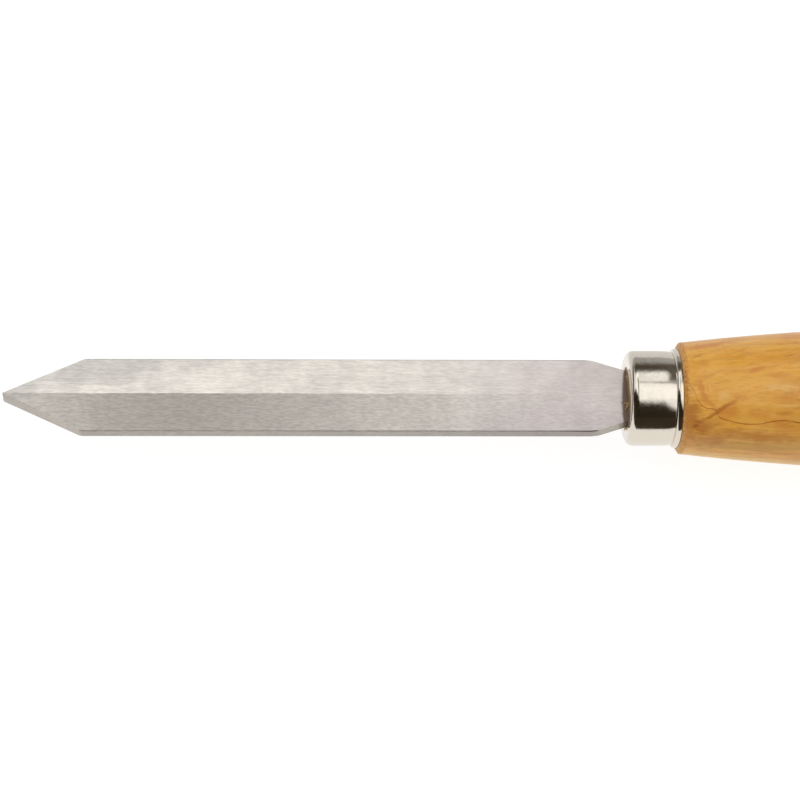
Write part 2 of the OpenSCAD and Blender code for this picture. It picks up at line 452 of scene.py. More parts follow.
def handle_points(settings, columns=480):
    """Handle as rings carried from the floor of the tang's socket, out through the nose in the ferrule's
    mouth, over the spigot and the shoulder, and along the turned outside to the domed end.

    Outside the socket a ring is a circle. The nose is rough, and the shoulder's rim has random notches.
    """
    angle = round_axis(columns)
    side = outward(angle)
    nose_at, spigot_at = 0.3 * MM, 0.9 * MM
    nose, spigot = MOUTH_RADIUS - FIT_GAP, 11.2 * MM
    spigot_chamfer, seat_chamfer, spigot_lead, seat_edge = 1.2 * MM, 0.05 * MM, 0.4 * MM, 12.6 * MM
    nose_tear, rim_tear_out, rim_tear_back = 0.10 * MM, 0.15, 0.10
    socket_at, socket = tang_socket(side, nose_at)
    opening = socket[-1]
    spread = np.linspace(0.0, 1.0, 9)[1:]
    front = opening[None, :] + (nose - opening)[None, :] * spread[:, None]
    torn = np.stack([ripple(angle, 6, 60, 40 + k) for k in range(len(spread))]) * nose_tear
    front_at = nose_at + torn * np.array([0.6, 1.0, 1.0, 1.0, 1.0, 0.8, 0.4, 0.0])[:, None]
    seat = SEAT_X - MOUTH_X
    hidden = np.array([
        (spigot_at, nose), (spigot_at, spigot - spigot_chamfer), (spigot_at + spigot_lead, spigot),
        (seat - seat_chamfer, spigot), (seat, spigot + seat_chamfer), (seat, seat_edge)])
    notch = np.clip(ripple(angle, 20, 150, 11, 24) + 0.35 * ripple(angle, 90, 280, 12, 24), -0.2, 1.0)
    rim_place = np.array([0.0, 0.08, 0.25, 0.42, 0.6, 0.75, 0.92, 1.3]) * MM
    rim_out = np.array([12.9, 13.05, 13.32, 13.58, 13.88, 14.1, 14.18, 14.21]) * MM
    rim_torn = np.array([0.2, 0.5, 0.8, 1.0, 1.0, 0.9, 0.5, 0.1]) * MM
    rim = rim_out[:, None] - rim_tear_out * rim_torn[:, None] * notch[None, :]
    rim_at = seat + rim_place[:, None] + rim_tear_back * rim_torn[:, None] * notch[None, :]
    end = HANDLE_HIGH.x - SEAT_X
    knob_at = end - DOME_LENGTH
    sweep = np.sin(np.linspace(0.0, math.pi / 2.0, 28))[:-1]
    length_rows = np.linspace(1.8 * MM, knob_at, 104)[:-1]
    place = np.concatenate([length_rows, knob_at + DOME_LENGTH * sweep, [end - 0.002 * MM]])
    outside = handle_radius(place, settings)

    def all_round(values):
        return np.repeat(values[:, None], columns, 1)

    radii = np.concatenate([socket, front, all_round(hidden[:, 1]), rim, all_round(outside)])
    x = np.concatenate([
        all_round(socket_at), front_at, all_round(hidden[:, 0]), rim_at, all_round(seat + place)])
    points = radii[..., None] * side[None]
    points[..., 0] = x + MOUTH_X
    return points


# Fibres that show at the tang: root, middle and tip, each by its distance behind the mouth and from the
# axis in mm and its turn in degrees from the side that faces the viewer, and each fibre's thickness in mm
SHOWN_FIBRES = (
    ((0.35, 3.9, -16.0), (0.1, 4.6, -24.0), (-0.7, 4.95, -38.0)),
    ((0.30, 3.5, -21.0), (-0.9, 3.4, -21.0), (-1.7, 3.38, -20.5)),
    ((0.10, 7.4, -77.0), (-0.45, 8.0, -80.0), (-0.25, 8.35, -85.0)),
)
SHOWN_THICKNESS = (0.19, 0.10, 0.20)


def splinter_points(count, sides=6, steps=12):
    """Loose fibres as thin tapering tubes, flattened to half their width, one column of rings each.

    A fibre's path is a quadratic curve by three places given as (along, out, turn) round the axis. Its
    thickness follows a sine, which is greatest a third of the way out and almost nothing at the tip.
    """
    rng = np.random.default_rng(23)
    shown = len(SHOWN_FIBRES)
    free = count - shown
    paths = np.empty((count, 3, 3))
    paths[:shown] = SHOWN_FIBRES
    turn = rng.uniform(-180.0, 180.0, free)
    out = rng.uniform(5.2, 7.2, free)
    reach = rng.uniform(-0.5, 0.1, free)
    paths[shown:, 0] = np.stack([np.full(free, 0.4), out, turn], 1)
    middle_out, middle_turn = out + rng.uniform(-0.3, 0.5, free), turn + rng.uniform(4.0, 12.0, free)
    paths[shown:, 1] = np.stack([reach, middle_out, middle_turn], 1)
    paths[shown:, 2] = np.stack([reach + 0.3, out + 0.1, turn + rng.uniform(12.0, 24.0, free)], 1)
    spots = outward(np.radians(paths[..., 2])) * paths[..., 1:2]
    spots[..., 0] = paths[..., 0]
    spots = spots * MM
    spots[..., 0] += MOUTH_X
    root, middle, tip = (spots[:, None, k] for k in range(3))
    s = np.linspace(0.0, 1.0, steps)[None, :, None]
    path = (1 - s) ** 2 * root + 2 * s * (1 - s) * middle + s ** 2 * tip
    heading = np.gradient(path, axis=1)
    heading /= np.linalg.norm(heading, axis=-1, keepdims=True)
    first = np.cross(heading, FACING + np.array([0.2, 0.1, 0.0]))
    first /= np.linalg.norm(first, axis=-1, keepdims=True)
    second = np.cross(heading, first)
    thick = np.concatenate([SHOWN_THICKNESS, rng.uniform(0.04, 0.09, free)]) * MM
    taper = np.sin(math.pi * (0.25 + 0.74 * s[..., 0]))
    a = np.arange(sides) / sides * FULL_TURN
    wide, flat = np.cos(a)[None, None, :, None], 0.5 * np.sin(a)[None, None, :, None]
    ring = wide * first[:, :, None] + flat * second[:, :, None]
    return path[:, :, None] + (thick[:, None] * taper)[..., None, None] * ring


# Materials


class Graph:
    """Adds nodes to one node tree. An input given as a socket is linked, any other value is set on the
    socket, and a colour is given by its three parts."""

    def __init__(self, tree):
        self.tree = tree

    def feed(self, socket, value):
        if isinstance(value, bpy.types.NodeSocket):
            self.tree.links.new(value, socket)
        elif socket.type == "RGBA":
            socket.default_value = (*value, 1.0)
        else:
            socket.default_value = value

    def add(self, kind, inputs=None, **settings):
        node = self.tree.nodes.new(kind)
        for key, value in settings.items():
            setattr(node, key, value)
        for key, value in (inputs or {}).items():
            self.feed(node.inputs[key], value)
        return node

    def surface(self, inputs):
        """Feeds inputs of the material's Principled shader."""
        for key, value in inputs.items():
            self.feed(self.tree.nodes["Principled BSDF"].inputs[key], value)

    def place(self, kind="Object"):
        return self.add("ShaderNodeTexCoord").outputs[kind]

    def split(self, vector):
        return self.add("ShaderNodeSeparateXYZ", {"Vector": vector}).outputs

    def join(self, x, y, z):
        return self.add("ShaderNodeCombineXYZ", {"X": x, "Y": y, "Z": z}).outputs["Vector"]

    def math(self, operation, a, b=0.0, clamp=False):
        return self.add("ShaderNodeMath", {0: a, 1: b}, operation=operation, use_clamp=clamp).outputs[0]

    def plus(self, a, b, clamp=False):
        return self.math("ADD", a, b, clamp)

    def minus(self, a, b):
        return self.math("SUBTRACT", a, b)

    def times(self, a, b):
        return self.math("MULTIPLY", a, b)

    def sway(self, noise, size):
        """Noise made to run both ways from nothing, times a size."""
        return self.times(self.minus(noise, 0.5), size)

    def vector(self, operation, a, b=(0.0, 0.0, 0.0)):
        node = self.add("ShaderNodeVectorMath", {0: a, 1: b}, operation=operation)
        return node.outputs["Value" if operation in {"DOT_PRODUCT", "LENGTH"} else "Vector"]

    def remap(self, value, low, high, to_low=0.0, to_high=1.0):
        """Smooth step from to_low, where the value is low, to to_high, where it is high."""
        inputs = {"Value": value, "From Min": low, "From Max": high, "To Min": to_low, "To Max": to_high}
        return self.add("ShaderNodeMapRange", inputs, interpolation_type="SMOOTHSTEP").outputs["Result"]

    def mix(self, factor, a, b, blend="MIX"):
        node = self.add("ShaderNodeMix", {0: factor, 6: a, 7: b}, data_type="RGBA", blend_type=blend)
        return node.outputs[2]

    def tint(self, factor, colour, tone):
        return self.mix(factor, colour, tone, "MULTIPLY")

    def noise(self, vector, scale, detail, roughness):
        inputs = {"Vector": vector, "Scale": scale, "Detail": detail, "Roughness": roughness}
        return self.add("ShaderNodeTexNoise", inputs).outputs["Fac"]

    def effect(self, tree, **inputs):
        return self.add("ShaderNodeGroup", inputs, node_tree=tree).outputs[0]

    def streaks(self, place, length, width, detail):
        return self.effect(streaks_effect(), Place=place, Length=length, Width=width, Detail=detail)

    def mottle(self, place, size):
        return self.effect(mottle_effect(), Place=place, Size=size)

    def relief(self, height, depth):
        return self.add("ShaderNodeBump", {"Height": height, "Distance": depth}).outputs["Normal"]


def new_effect(name, sizes):
    """Empty node group that takes a place and named sizes and gives one value."""
    tree = bpy.data.node_groups.new(name, "ShaderNodeTree")
    tree.interface.new_socket("Place", in_out="INPUT", socket_type="NodeSocketVector")
    for size in sizes:
        tree.interface.new_socket(size, in_out="INPUT", socket_type="NodeSocketFloat")
    tree.interface.new_socket("Value", in_out="OUTPUT", socket_type="NodeSocketFloat")
    g = Graph(tree)
    return tree, g, g.add("NodeGroupInput").outputs, g.add("NodeGroupOutput").inputs


def streaks_effect():
    """Streaks along the first axis: noise stretched to a length along it and a width across it."""
    if "Streaks" in bpy.data.node_groups:
        return bpy.data.node_groups["Streaks"]
    tree, g, given, result = new_effect("Streaks", ("Length", "Width", "Detail"))
    along = g.math("DIVIDE", 1.0, given["Length"])
    across = g.math("DIVIDE", 1.0, given["Width"])
    place = g.vector("MULTIPLY", given["Place"], g.join(along, across, across))
    g.feed(result["Value"], g.noise(place, 1.0, given["Detail"], 0.6))
    return tree


def mottle_effect():
    """Soft uneven patches of one size, the same in all directions."""
    if "Mottle" in bpy.data.node_groups:
        return bpy.data.node_groups["Mottle"]
    tree, g, given, result = new_effect("Mottle", ("Size",))
    scale = g.math("DIVIDE", 1.0, given["Size"])
    g.feed(result["Value"], g.noise(given["Place"], scale, 2.0, 0.5))
    return tree


def new_material(name):
    """Material with a Principled shader, and the graph of its nodes."""
    material = bpy.data.materials.new(name)
    material.use_nodes = True
    return material, Graph(material.node_tree)


def ahead(distance):
    """Place along the axis at a distance, in mm, in front of the ferrule's mouth."""
    return MOUTH_X - distance * MM


# Tones that multiply the steel's grinding lines, and those of the scale on its tang
# The tones for the far corner, the corners near the heel, the face towards the point and the near side of
# the heel are painted shade, for darker parts of the room that the steel mirrors.
STEEL_TONES = {
    "blotch": (0.92, 0.92, 0.925), "edge": (0.535, 0.517, 0.493), "bevel": (0.605, 0.580, 0.548),
    "shoulder": (0.641, 0.648, 0.537), "stained": (0.50, 0.47, 0.35), "far corner shade": (0.25, 0.255, 0.25),
    "heel_corner_shade": (0.44, 0.425, 0.40), "face shade": (0.83, 0.85, 0.86), "heel": (0.92, 0.885, 0.925),
    "near heel shade": (0.91, 0.905, 0.92), "dark scale": (0.135, 0.097, 0.074),
    "light scale": (0.31, 0.235, 0.200),
}


def ground_steel(settings):
    """Steel ground lengthwise: streaks and faint cross chatter set its tone, gloss and relief.

    The narrow edges and the bevels are darker and the shoulders have a tone of their own, picked out by
    the way that they face. As painted shade for darker parts of the room that the steel mirrors, the
    broken corners are darkened, the far one most and both more near the heel, one face is darkened
    towards the point, and the near face darkens towards its edge by the heel. The heel is slightly
    cooler, and the tang past the ground part is dark with scale, up to a border that bows across the blade.
    """
    material, g = new_material("Ground steel")
    tones = STEEL_TONES
    place = g.place()
    fine = g.streaks(place, length=3.0 * MM, width=0.36 * MM, detail=3.0)
    broad = g.streaks(place, length=11.0 * MM, width=0.60 * MM, detail=2.0)
    dash = g.streaks(place, length=1.6 * MM, width=0.32 * MM, detail=1.0)
    chatter = g.streaks(place, length=2.8 * MM, width=7.0 * MM, detail=1.0)
    cloud = g.mottle(place, size=9.0 * MM)
    parts = g.split(place)
    x, y = parts["X"], parts["Y"]
    lines = g.plus(g.times(fine, 0.6), g.times(broad, 0.4))
    lines = g.mix(g.remap(y, -0.5 * MM, 0.5 * MM, 0.58, 0.32), lines, dash)
    blotch = g.plus(g.times(chatter, 0.3), g.times(cloud, 0.7))
    heel = g.remap(x, ahead(60.0), ahead(12.0))
    tone = g.mix(g.times(heel, 0.4), g.remap(lines, 0.39, 0.61), (0.5, 0.5, 0.5))
    colour = g.mix(tone, settings.dark_steel, settings.light_steel)
    colour = g.tint(g.remap(blotch, 0.38, 0.62), colour, tones["blotch"])
    normal = g.split(g.place("Normal"))
    narrow = g.remap(g.math("ABSOLUTE", normal["Z"]), 0.2, 0.6, 1.0, 0.0)
    stain = g.remap(x, ahead(2.8), ahead(0.9))
    shoulder = g.mix(stain, tones["shoulder"], tones["stained"])
    bevel = g.remap(normal["X"], -0.35, -0.15, 1.0, 0.0)
    edge_tone = g.mix(bevel, tones["edge"], tones["bevel"])
    edge_tone = g.mix(g.remap(normal["X"], 0.08, 0.28), edge_tone, shoulder)
    colour = g.tint(narrow, colour, edge_tone)
    steep = g.math("ABSOLUTE", normal["Y"])
    corner = g.times(g.remap(steep, 0.5, 0.6), g.remap(steep, 0.85, 0.9, 1.0, 0.0))
    # Painted shade: the far long corner is darkened, for the dark part of the room that it mirrors.
    far_corner_shade = g.times(corner, g.math("GREATER_THAN", normal["Y"], 0.0))
    colour = g.tint(far_corner_shade, colour, tones["far corner shade"])
    # Painted shade: both long corners are darkened near the heel, for the darker reflection there.
    heel_corner_shade = g.times(corner, g.remap(x, ahead(23.0), ahead(9.0)))
    colour = g.tint(heel_corner_shade, colour, tones["heel_corner_shade"])
    # Painted shade: the far face is darkened towards the point, for the darker room that it mirrors there.
    slant = g.minus(y, g.times(g.minus(x, ahead(143.0)), 0.2))
    slant = g.plus(slant, g.sway(cloud, 8.0 * MM))
    colour = g.tint(g.remap(slant, -1.5 * MM, 4.0 * MM), colour, tones["face shade"])
    colour = g.tint(heel, colour, tones["heel"])
    # Painted shade: near the heel the near face darkens towards its edge, as its mirrored room does.
    near_heel_shade = g.times(heel, g.remap(y, -8.5 * MM, -2.0 * MM, 1.0, 0.0))
    colour = g.tint(near_heel_shade, colour, tones["near heel shade"])
    bow = g.times(y, g.plus(g.times(y, 7.5), 0.072))
    ragged = g.sway(fine, 0.6 * MM)
    scale = g.remap(g.plus(g.minus(x, bow), ragged), ahead(1.35), ahead(0.65))
    colour = g.mix(scale, colour, g.mix(blotch, tones["dark scale"], tones["light scale"]))
    dull = g.plus(g.times(scale, 0.6), g.times(corner, 0.6), clamp=True)
    g.surface({
        "Base Color": colour,
        "Metallic": g.minus(1.0, g.math("MAXIMUM", dull, STEEL_MATT)),
        "Roughness": g.plus(g.remap(blotch, 0.3, 0.7, 0.17, 0.21), g.times(scale, 0.25)),
        "Normal": g.relief(lines, 0.0018 * MM),
    })
    return material


def bright_plating(settings):
    """Bright plating: nearly mirror-like, with soft waves from drawing, turned lines and slight smears."""
    material, g = new_material("Bright plating")
    smear = (0.60, 0.54, 0.45)
    place = g.place()
    lines = g.streaks(place, length=0.09 * MM, width=16.0 * MM, detail=1.0)
    wave = g.mottle(place, size=2.6 * MM)
    peel = g.mottle(place, size=0.9 * MM)
    colour = g.mix(g.remap(peel, 0.45, 0.75, 0.0, 0.10), settings.plating, smear)
    gloss = g.remap(peel, 0.3, 0.8, 0.10, 0.17)
    waves = g.plus(wave, g.times(peel, 0.25))
    height = g.plus(waves, g.times(lines, 0.012))
    g.surface({
        "Base Color": colour, "Metallic": 1.0, "Roughness": gloss, "Normal": g.relief(height, 0.036 * MM)})
    return material


# Tones of the wood's figure, of its torn rim, of the end grain in the mouth and of loose fibre
WOOD_TONES = {
    "gold": (0.81, 0.38, 0.050), "orange": (0.70, 0.27, 0.045), "red": (0.46, 0.155, 0.030),
    "pale": (0.88, 0.51, 0.15), "brown": (0.48, 0.160, 0.028), "dark": (0.33, 0.100, 0.006),
    "olive": (0.45, 0.26, 0.045), "straw": (0.76, 0.56, 0.090),
    "growth line": (0.38, 0.075, 0.006), "dark rim": (0.40, 0.165, 0.038), "light rim": (0.80, 0.40, 0.110),
    "dark end": (0.15, 0.090, 0.030), "light end": (0.52, 0.325, 0.095),
    "dark fibre": (0.44, 0.25, 0.085), "light fibre": (0.88, 0.63, 0.32), "stained": (0.10, 0.06, 0.04),
}

# Patches of figure on the handle: distance behind the mouth in mm, turn in degrees from the side that
# faces the viewer, half length and half width in mm, tilt in degrees, tone, strength
FIGURE = (
    (20, 63.5, 8, 1.5, 8, "orange", 0.9), (16.5, 46.4, 2.6, 0.25, 25, "brown", 0.5),
    (26.8, 49.5, 3.8, 0.3, 27, "orange", 0.45), (31.2, 27.6, 2.4, 0.75, 18, "orange", 0.8),
    (28.2, 50, 1.3, 0.5, 25, "orange", 0.5), (40.3, 41.3, 2.6, 0.25, 18, "brown", 0.45),
    (15.8, 33, 2, 1.6, 0, "gold", 0.7), (16.9, 11, 2.6, 0.9, 100, "orange", 0.62),
    (17.8, 2, 2.4, 0.9, 108, "orange", 0.62), (19.6, -6, 2, 0.7, 135, "orange", 0.5),
    (18.6, 9, 1.8, 0.35, 102, "orange", 0.4), (20.6, 8, 1.6, 1.2, 0, "orange", 0.24),
    (22.8, 3.1, 1.8, 1.4, 0, "pale", 0.5), (21, -13.5, 7, 0.6, 35, "brown", 0.65),
    (22.3, -9.3, 2.4, 0.8, 33, "brown", 0.65), (24, -12.5, 3, 1.7, 10, "orange", 0.6),
    (25, -3.5, 1.8, 0.8, 35, "orange", 0.4), (18.3, -29, 3.6, 2.2, 15, "brown", 0.45),
    (15.8, -29.2, 0.9, 0.55, 40, "dark", 0.7), (14.8, -13, 2.6, 3.6, 0, "red", 0.5),
    (14.9, -30, 2.2, 4.6, 0, "red", 0.43), (38.8, 0.6, 3.2, 0.9, 0, "orange", 0.55),
    (41.2, -1.2, 1.2, 0.35, 0, "red", 0.35), (37.2, -13.6, 2.2, 0.6, 0, "red", 0.22),
    (31.5, -13.5, 5, 1.8, 0, "orange", 0.35), (36.5, 20.4, 3.4, 0.8, 0, "orange", 0.45),
    (37, 10, 5, 1.2, 0, "pale", 0.65), (38, -6.2, 4, 0.5, 0, "pale", 0.5),
    (29, -61.5, 16, 0.2, 6.5, "brown", 0.5), (30, -69, 16, 0.2, 6.5, "brown", 0.4),
    (32, -78, 30, 3.2, 0, "straw", 0.26), (30, -49, 22, 2.6, 3, "olive", 0.34),
    (20, -44, 6, 3, 4, "brown", 0.42), (32, -37, 16, 2.2, -3, "brown", 0.36),
    (58, 22, 9, 1.6, 6, "brown", 0.4), (74, -34, 12, 2, -5, "orange", 0.55),
    (96, 150, 10, 2.4, 10, "brown", 0.45), (40, -140, 9, 1.8, -8, "brown", 0.45),
    (150, 60, 16, 2.2, 4, "orange", 0.55), (205, -80, 18, 2, -4, "brown", 0.4),
    (240, 20, 12, 2.6, 6, "red", 0.4), (180, 165, 14, 2, 3, "brown", 0.4),
)

# Course of one dark growth line: its run in mm, and distance behind the mouth in mm and turn in degrees
LINE_RUN = 60.0
LINE_COURSE = (
    (0.0, 60.0), (13.6, 22.0), (14.2, 14.5), (15.4, 5.3), (16.1, -1.9), (17.9, -9.0), (20.6, -11.9),
    (21.3, -17.0), (24.2, -21.6), (30.1, -24.1), (37.0, -19.6), (41.5, -21.3), (50.0, -26.0),
    (LINE_RUN, -20.0),
)

# Length round the handle to which its surface is unrolled for the figure
GIRTH = 94.0 * MM


def add_figure(g, colour, unrolled, drift, patch):
    """Colour with one patch of figure, which fades with the distance in the patch's own turned and scaled
    frame, roughened by the drift."""
    place, turn, half_length, half_width, tilt, tone, strength = patch
    inputs = {
        "Vector": unrolled, "Location": (MOUTH_X + place * MM, turn / 360.0 * GIRTH, 0.0),
        "Rotation": (0.0, 0.0, math.radians(tilt)), "Scale": (half_length * MM, half_width * MM, 1.0)}
    own = g.add("ShaderNodeMapping", inputs, vector_type="TEXTURE").outputs["Vector"]
    far = g.plus(g.vector("LENGTH", own), drift)
    mask = g.remap(far, 0.2, 1.25, min(1.0, 1.35 * strength), 0.0)
    return g.mix(mask, colour, WOOD_TONES[tone])


def growth_line(g, along, turn):
    """Distance from the dark growth line, as a share of the turn: a curve gives its turn at each place."""
    share = g.math("DIVIDE", g.minus(along, MOUTH_X), LINE_RUN * MM, True)
    node = g.add("ShaderNodeFloatCurve", {"Value": share})
    spots = [(place / LINE_RUN, 0.5 + degrees / 360.0) for place, degrees in LINE_COURSE]
    curve = node.mapping.curves[0]
    curve.points[0].location, curve.points[-1].location = spots[0], spots[-1]
    for spot in spots[1:-1]:
        curve.points.new(*spot)
    node.mapping.update()
    return g.math("ABSOLUTE", g.minus(turn, node.outputs["Value"]))


def lacquered_wood(settings):
    """Honey-coloured wood under clear lacquer.

    Growth rings are sheets square to the viewer's direction, bent by noise, so they show as wide figure on
    the front and as close lines at the sides. Fibres and pores are streaks along the axis. Patches of
    figure and one fine dark line follow the turned surface. The torn rim is rougher, and the end grain in
    the mouth is darker.
    """
    material, g = new_material("Lacquered wood")
    tones = WOOD_TONES
    place = g.place()
    parts = g.split(g.add("ShaderNodeUVMap", uv_map="Turned").outputs["UV"])
    along, turn = parts["X"], parts["Y"]
    unrolled = g.join(along, g.sway(turn, GIRTH), 0.0)
    bend = g.mottle(g.vector("MULTIPLY", place, (0.35, 1.0, 1.0)), size=9.0 * MM)
    cloud = g.mottle(g.vector("MULTIPLY", place, (0.30, 1.0, 1.0)), size=3.4 * MM)
    blush = g.mottle(g.vector("MULTIPLY", place, (0.45, 0.9, 0.9)), size=4.5 * MM)
    sway = g.sway(bend, 5.0 * MM)
    swayed = g.vector("ADD", place, g.join(0.0, sway, sway))
    fibre = g.streaks(swayed, length=13.0 * MM, width=0.70 * MM, detail=2.0)
    hair = g.streaks(swayed, length=4.0 * MM, width=0.40 * MM, detail=1.0)
    pore = g.streaks(swayed, length=2.0 * MM, width=0.36 * MM, detail=1.0)
    depth = g.vector("DOT_PRODUCT", place, tuple(FACING))
    ring = g.math("FRACT", g.math("DIVIDE", g.plus(depth, g.sway(bend, 7.0 * MM)), 2.3 * MM))
    late = g.times(g.remap(ring, 0.45, 0.93), g.remap(ring, 0.93, 1.0, 1.0, 0.0))
    colour = g.mix(g.remap(cloud, 0.30, 0.70), settings.dark_wood, settings.light_wood)
    colour = g.mix(g.remap(blush, 0.50, 0.70, 0.0, 0.65), colour, tones["orange"])
    colour = g.mix(g.times(late, 0.22), colour, tones["brown"])
    colour = g.mix(g.remap(fibre, 0.38, 0.68, 0.0, 0.30), colour, tones["pale"])
    colour = g.mix(g.remap(hair, 0.48, 0.72, 0.0, 0.22), colour, tones["brown"])
    colour = g.mix(g.remap(pore, 0.62, 0.74, 0.0, 0.40), colour, tones["brown"])
    rim = g.remap(along, SEAT_X + 0.7 * MM, SEAT_X + 1.5 * MM, 1.0, 0.0)
    speck = g.mottle(place, size=0.45 * MM)
    torn = g.mix(g.remap(speck, 0.40, 0.62), tones["dark rim"], tones["light rim"])
    colour = g.mix(g.times(rim, 0.65), colour, torn)
    uneven = g.plus(g.mottle(unrolled, size=2.4 * MM), g.plus(fibre, hair))
    drift = g.minus(uneven, 1.5)
    for patch in FIGURE:
        colour = add_figure(g, colour, unrolled, drift, patch)
    off = g.plus(growth_line(g, along, turn), g.sway(hair, 0.0030))
    shown = g.times(g.remap(off, 0.0003, 0.0021, 0.85, 0.0), g.remap(along, 42.0 * MM, 60.0 * MM, 1.0, 0.0))
    colour = g.mix(shown, colour, tones["growth line"])
    inside = g.remap(along, SEAT_X - 1.0 * MM, SEAT_X - 0.5 * MM, 1.0, 0.0)
    end_grain = g.mix(g.remap(speck, 0.42, 0.60), tones["dark end"], tones["light end"])
    colour = g.mix(inside, colour, end_grain)
    gloss = g.remap(fibre, 0.3, 0.7, 0.42, 0.52)
    rough = g.plus(gloss, g.times(rim, 0.3), clamp=True)
    height = g.plus(g.times(fibre, 0.6), g.times(pore, -0.5))
    height = g.plus(height, g.times(g.times(rim, speck), 6.0))
    g.surface({
        "Base Color": colour, "Roughness": rough, "Coat Weight": 0.42, "Coat Roughness": 0.18,
        "Specular IOR Level": 0.2, "Normal": g.relief(height, 0.012 * MM)})
    return material


def raw_fibre():
    """Torn golden fibre: streaks change its tone and relief, and tips that reach far out are stained."""
    material, g = new_material("Raw fibre")
    tones = WOOD_TONES
    place = g.place()
    streak = g.streaks(place, length=0.8 * MM, width=0.06 * MM, detail=2.0)
    colour = g.mix(g.remap(streak, 0.35, 0.65), tones["dark fibre"], tones["light fibre"])
    stain = g.remap(g.split(place)["X"], ahead(1.0), ahead(0.75), 0.9, 0.0)
    colour = g.mix(stain, colour, tones["stained"])
    g.surface({"Base Color": colour, "Roughness": 0.6, "Normal": g.relief(streak, 0.02 * MM)})
    return material


# Tints of the stage's light, and the tone of a surface that throws no light back
LAMP_WHITE, LAMP_DIM, ROOM_WHITE = (1.0, 0.998, 0.994), (1.0, 0.76, 0.45), (1.0, 0.99, 0.97)
NO_TONE = (0.0, 0.0, 0.0)


def plain_surface(name, colour, glow=0.0):
    """Even matt surface for the stage, which may give light by itself."""
    material, g = new_material(name)
    g.surface({
        "Base Color": colour, "Roughness": 1.0, "Specular IOR Level": 0.0,
        "Emission Color": LAMP_WHITE, "Emission Strength": glow})
    return material


# Stage

# Soft boxes that polished metal mirrors, from the front horizon over the top to the back: angle of rise in
# degrees and brightness
STUDIO_RISE = (60.0, 66.0, 88.0, 97.0, 110.0, 126.0, 130.0, 134.0, 139.0, 147.0, 155.0, 163.0, 170.0, 180.0)
STUDIO_GLOW = (1.18, 1.40, 1.43, 1.31, 1.20, 1.36, 0.98, 0.34, 0.11, 0.08, 0.19, 0.42, 0.46, 0.50)

# Boom overhead: places along X, in shares of the dome's radius, and how much it dims the boxes there
BOOM_PLACE = (-0.30, -0.235, -0.205, -0.165, -0.13, -0.10, -0.05, 0.02, 0.045, 0.08, 0.10, 0.115, 0.135)
BOOM_SHADE = (0.0, 0.38, 0.59, 0.68, 0.665, 0.58, 0.48, 0.36, 0.25, 0.16, 0.16, 0.25, 0.0)

# Back box: places along X, and how much it is dimmed there
BACK_PLACE = (-0.10, 0.02, 0.065, 0.085, 0.10, 0.118, 0.145)
BACK_SHADE = (0.07, 0.13, 0.06, 0.09, 0.28, 0.47, 0.0)

# Brightness of the front cloth, the dark part to the right, the bright sides and the horizon at the left
CLOTH_GLOW, RIGHT_GLOW, SIDE_GLOW, HORIZON_GLOW = 0.026, 0.12, 1.0, 0.05


def soft(value, low, high):
    """Smooth step that goes from 0 at low to 1 at high."""
    t = np.clip((value - low) / (high - low), 0.0, 1.0)
    return t * t * (3.0 - 2.0 * t)


def toward(start, end, share):
    """Value that goes from the start to the end by a share of the way."""
    return start + (end - start) * share


def over_axis(rise, side, distance):
    """Place at a distance from the origin: the rise in degrees runs from the front over the top to the
    back, and the side in degrees leans towards positive X."""
    a, b = np.radians(rise), np.radians(side)
    return np.stack([np.sin(b) + 0.0 * a, -np.cos(b) * np.cos(a), np.cos(b) * np.sin(a)], -1) * distance


def studio_glow(rise, x, height):
    """Brightness of the dome at an angle of rise, a place along X and a height, in shares of its radius.

    Bands of soft boxes follow the rise, with a gap at the right. A dark cloth covers the front up to an
    edge that falls towards positive X. A dim boom crosses overhead, and the back box is dimmed, most of
    all at its right end. Where the blade's faces mirror the dome, its contrast makes up for the share of
    light that the steel scatters. The back is dark to the right. Far to the right and at the left of the
    back the dome is bright, but for the horizon at the left.
    """
    glow = np.interp(rise, STUDIO_RISE, STUDIO_GLOW)
    gap = soft(x, 0.12, 0.14) * np.clip(1.0 - np.abs(rise - 103.5) / 4.0, 0.0, 1.0)
    glow = glow * (1.0 - 0.75 * gap)
    cloth_edge = 63.0 - 40.0 * x - 50.0 * np.clip(x - 0.16, 0.0, 0.2)
    glow = toward(CLOTH_GLOW, glow, soft(rise, cloth_edge - 9.0, cloth_edge + 8.0))
    boom = np.interp(x, BOOM_PLACE, BOOM_SHADE) * soft(rise, 60.0, 68.0) * soft(rise, 119.0, 112.0)
    glow = glow * (1.0 - boom)
    back = np.interp(x, BACK_PLACE, BACK_SHADE) * soft(rise, 111.0, 118.0)
    glow = glow * (1.0 - back)
    mirrored = soft(x, 0.135, 0.118) * soft(x, -0.42, -0.32)
    mirrored = mirrored * soft(rise, 80.0, 92.0) * soft(rise, 140.0, 132.0)
    needed = np.maximum(0.03, (glow - STEEL_MATT * MATT_LIGHT) / (1.0 - STEEL_MATT))
    glow = toward(glow, needed, mirrored)
    right = soft(x, 0.19, 0.29) * soft(rise, 100.0, 112.0) * soft(rise, 162.0, 151.0)
    glow = toward(glow, RIGHT_GLOW, right)
    sides = soft(x, 0.40, 0.62) + soft(-x, 0.52, 0.70) * soft(rise, 100.0, 125.0)
    glow = toward(glow, SIDE_GLOW, sides)
    horizon = soft(x, -0.45, -0.75) * soft(height, 0.45, 0.20)
    return toward(glow, HORIZON_GLOW, horizon)


def stage_piece(name, mesh, material):
    """Links a mesh as part of the stage."""
    mesh.materials.append(material)
    thing = bpy.data.objects.new(name, mesh)
    bpy.context.scene.collection.objects.link(thing)
    return thing


def flat_panel(name, corners, material):
    """One four-sided panel of the stage."""
    mesh = bpy.data.meshes.new(name)
    mesh.from_pydata(corners, [], [(0, 1, 2, 3)])
    return stage_piece(name, mesh, material)


